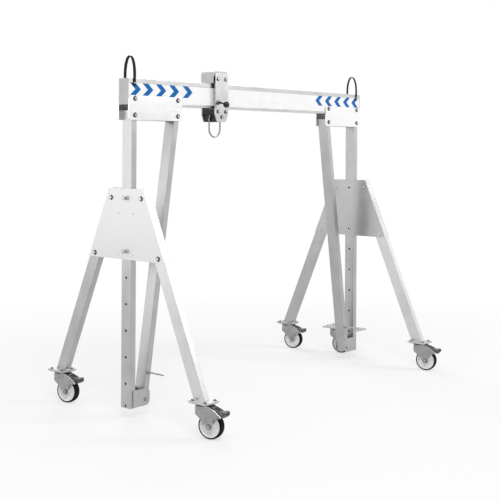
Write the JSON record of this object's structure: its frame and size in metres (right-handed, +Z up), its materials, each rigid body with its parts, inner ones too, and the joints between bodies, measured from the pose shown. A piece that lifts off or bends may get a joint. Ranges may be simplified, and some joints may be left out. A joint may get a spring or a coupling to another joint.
{
  "type": "portable gantry crane",
  "caption": "Portable aluminium gantry crane: a box beam with a running trolley on height-adjustable A-frames with braked swivel casters.",
  "frame": {"origin": "centre of the bounding box's base, on the floor", "axes": "+X along the beam, +Y across it towards the back, +Z up"},
  "size_m": [3.1022, 1.764, 2.63],
  "materials": {
    "extrusion": "satin anodised extrusion",
    "plate": "bright milled plate",
    "zinc": "zinc plated",
    "cap_grey": "moulded",
    "webbing": "woven polyester webbing",
    "guide_polymer": "machined polymer",
    "wheel": "black tyre on a grey centre",
    "pedal": "grey paint",
    "housing": "light grey paint",
    "dark_steel": "dark satin paint",
    "stainless": "polished",
    "knob": "glossy"
  },
  "bodies": {
    "left_frame": {"gusset_outer_left": "plate", "gusset_inner_left": "plate", "leg_left_front": "extrusion", "guide_left_front": "guide_polymer", "caster_left_front_plate": "zinc", "leg_left_back": "extrusion", "guide_left_back": "guide_polymer", "caster_left_back_plate": "zinc"},
    "carriage": {"beam": "extrusion", "end_cap_left": "cap_grey", "mast_left": "extrusion", "brace_left": "extrusion", "head_plate_front_left": "plate", "head_plate_back_left": "plate", "strap_left": "webbing", "end_cap_right": "cap_grey", "mast_right": "extrusion", "brace_right": "extrusion", "head_plate_front_right": "plate", "head_plate_back_right": "plate", "strap_right": "webbing", "transport_bracket": "plate", "caster_transport_plate": "zinc"},
    "right_frame": {"gusset_outer_right": "plate", "gusset_inner_right": "plate", "leg_right_front": "extrusion", "guide_right_front": "guide_polymer", "caster_right_front_plate": "zinc", "leg_right_back": "extrusion", "guide_right_back": "guide_polymer", "caster_right_back_plate": "zinc"},
    "pin_left_high": {"locking_pin_left_high": "zinc"},
    "pin_left_low": {"locking_pin_left_low": "zinc"},
    "pin_right_high": {"locking_pin_right_high": "zinc"},
    "pin_right_low": {"locking_pin_right_low": "zinc"},
    "caster_left_front_swivel": {"caster_left_front_fork": "zinc"},
    "caster_left_front_roll": {"caster_left_front_wheel": "wheel"},
    "caster_left_front_brake": {"caster_left_front_pedal": "pedal"},
    "caster_left_back_swivel": {"caster_left_back_fork": "zinc"},
    "caster_left_back_roll": {"caster_left_back_wheel": "wheel"},
    "caster_left_back_brake": {"caster_left_back_pedal": "pedal"},
    "caster_right_front_swivel": {"caster_right_front_fork": "zinc"},
    "caster_right_front_roll": {"caster_right_front_wheel": "wheel"},
    "caster_right_front_brake": {"caster_right_front_pedal": "pedal"},
    "caster_right_back_swivel": {"caster_right_back_fork": "zinc"},
    "caster_right_back_roll": {"caster_right_back_wheel": "wheel"},
    "caster_right_back_brake": {"caster_right_back_pedal": "pedal"},
    "caster_transport_swivel": {"caster_transport_fork": "zinc"},
    "caster_transport_roll": {"caster_transport_wheel": "wheel"},
    "caster_transport_brake": {"caster_transport_pedal": "pedal"},
    "trolley": {"trolley_plate_front": "zinc", "trolley_plate_back": "zinc", "trolley_cover": "housing", "trolley_base": "dark_steel"},
    "roller_left": {"trolley_wheel_left": "dark_steel"},
    "roller_right": {"trolley_wheel_right": "dark_steel"},
    "bow": {"bow": "stainless"},
    "knob": {"lock_knob": "knob"}
  },
  "joints": [
    {"name": "beam_height", "type": "slide", "parent": "left_frame", "child": "carriage", "axis": [0, 0, 1], "range_m": [0, 0.768]},
    {"name": "right_frame_height", "type": "slide", "parent": "carriage", "child": "right_frame", "axis": [0, 0, -1], "range_m": [0, 0.768]},
    {"name": "pin_left_high_push", "type": "slide", "parent": "left_frame", "child": "pin_left_high", "axis": [1, 0, 0], "range_m": [0, 0.014]},
    {"name": "pin_left_low_push", "type": "slide", "parent": "left_frame", "child": "pin_left_low", "axis": [1, 0, 0], "range_m": [0, 0.014]},
    {"name": "pin_right_high_push", "type": "slide", "parent": "right_frame", "child": "pin_right_high", "axis": [-1, 0, 0], "range_m": [0, 0.014]},
    {"name": "pin_right_low_push", "type": "slide", "parent": "right_frame", "child": "pin_right_low", "axis": [-1, 0, 0], "range_m": [0, 0.014]},
    {"name": "caster_left_front_swivel_turn", "type": "hinge", "parent": "left_frame", "child": "caster_left_front_swivel", "pos_m": [-1.48113, -0.69203, 0.227], "axis": [0, 0, 1], "continuous": true},
    {"name": "caster_left_front_wheel_turn", "type": "hinge", "parent": "caster_left_front_swivel", "child": "caster_left_front_roll", "pos_m": [-1.46719, -0.75245, 0.09], "axis": [0.9744, 0.225, 0], "continuous": true},
    {"name": "caster_left_front_brake_press", "type": "hinge", "parent": "caster_left_front_swivel", "child": "caster_left_front_brake", "pos_m": [-1.46809, -0.74855, 0.208], "axis": [0.9744, 0.225, 0], "range_deg": [0, 12]},
    {"name": "caster_left_back_swivel_turn", "type": "hinge", "parent": "left_frame", "child": "caster_left_back_swivel", "pos_m": [-1.48113, 0.79797, 0.227], "axis": [0, 0, 1], "continuous": true},
    {"name": "caster_left_back_wheel_turn", "type": "hinge", "parent": "caster_left_back_swivel", "child": "caster_left_back_roll", "pos_m": [-1.46719, 0.73755, 0.09], "axis": [0.9744, 0.225, 0], "continuous": true},
    {"name": "caster_left_back_brake_press", "type": "hinge", "parent": "caster_left_back_swivel", "child": "caster_left_back_brake", "pos_m": [-1.46809, 0.74145, 0.208], "axis": [0.9744, 0.225, 0], "range_deg": [0, 12]},
    {"name": "caster_right_front_swivel_turn", "type": "hinge", "parent": "right_frame", "child": "caster_right_front_swivel", "pos_m": [1.34587, -0.69203, 0.227], "axis": [0, 0, 1], "continuous": true},
    {"name": "caster_right_front_wheel_turn", "type": "hinge", "parent": "caster_right_front_swivel", "child": "caster_right_front_roll", "pos_m": [1.35981, -0.75245, 0.09], "axis": [0.9744, 0.225, 0], "continuous": true},
    {"name": "caster_right_front_brake_press", "type": "hinge", "parent": "caster_right_front_swivel", "child": "caster_right_front_brake", "pos_m": [1.35891, -0.74855, 0.208], "axis": [0.9744, 0.225, 0], "range_deg": [0, 12]},
    {"name": "caster_right_back_swivel_turn", "type": "hinge", "parent": "right_frame", "child": "caster_right_back_swivel", "pos_m": [1.34587, 0.79797, 0.227], "axis": [0, 0, 1], "continuous": true},
    {"name": "caster_right_back_wheel_turn", "type": "hinge", "parent": "caster_right_back_swivel", "child": "caster_right_back_roll", "pos_m": [1.35981, 0.73755, 0.09], "axis": [0.9744, 0.225, 0], "continuous": true},
    {"name": "caster_right_back_brake_press", "type": "hinge", "parent": "caster_right_back_swivel", "child": "caster_right_back_brake", "pos_m": [1.35891, 0.74145, 0.208], "axis": [0.9744, 0.225, 0], "range_deg": [0, 12]},
    {"name": "caster_transport_swivel_turn", "type": "hinge", "parent": "carriage", "child": "caster_transport_swivel", "pos_m": [1.47737, 0.31296, 0.227], "axis": [0, 0, 1], "continuous": true},
    {"name": "caster_transport_wheel_turn", "type": "hinge", "parent": "caster_transport_swivel", "child": "caster_transport_roll", "pos_m": [1.49131, 0.25255, 0.09], "axis": [0.9744, 0.225, 0], "continuous": true},
    {"name": "caster_transport_brake_press", "type": "hinge", "parent": "caster_transport_swivel", "child": "caster_transport_brake", "pos_m": [1.49041, 0.25645, 0.208], "axis": [0.9744, 0.225, 0], "range_deg": [0, 12]},
    {"name": "trolley_travel", "type": "slide", "parent": "carriage", "child": "trolley", "axis": [1, 0, 0], "range_m": [-0.33, 1.325]},
    {"name": "roller_left_turn", "type": "hinge", "parent": "trolley", "child": "roller_left", "pos_m": [-0.60963, 0.05296, 2.5033], "axis": [0, 1, 0], "continuous": true},
    {"name": "roller_right_turn", "type": "hinge", "parent": "trolley", "child": "roller_right", "pos_m": [-0.52063, 0.05296, 2.5033], "axis": [0, 1, 0], "continuous": true},
    {"name": "bow_swing", "type": "hinge", "parent": "trolley", "child": "bow", "pos_m": [-0.56513, 0.05296, 2.206], "axis": [1, 0, 0], "range_deg": [-45, 45]},
    {"name": "knob_pull", "type": "slide", "parent": "trolley", "child": "knob", "axis": [0, -1, 0], "range_m": [0, 0.01], "stiffness_N_per_m": 400, "springref_m": -0.01}
  ],
  "couplings": [
    {"joint": "right_frame_height", "follows": "beam_height", "ratio": 1},
    {"joint": "roller_left_turn", "follows": "trolley_travel", "rad_per_m": 25},
    {"joint": "roller_right_turn", "follows": "trolley_travel", "rad_per_m": 25}
  ]
}
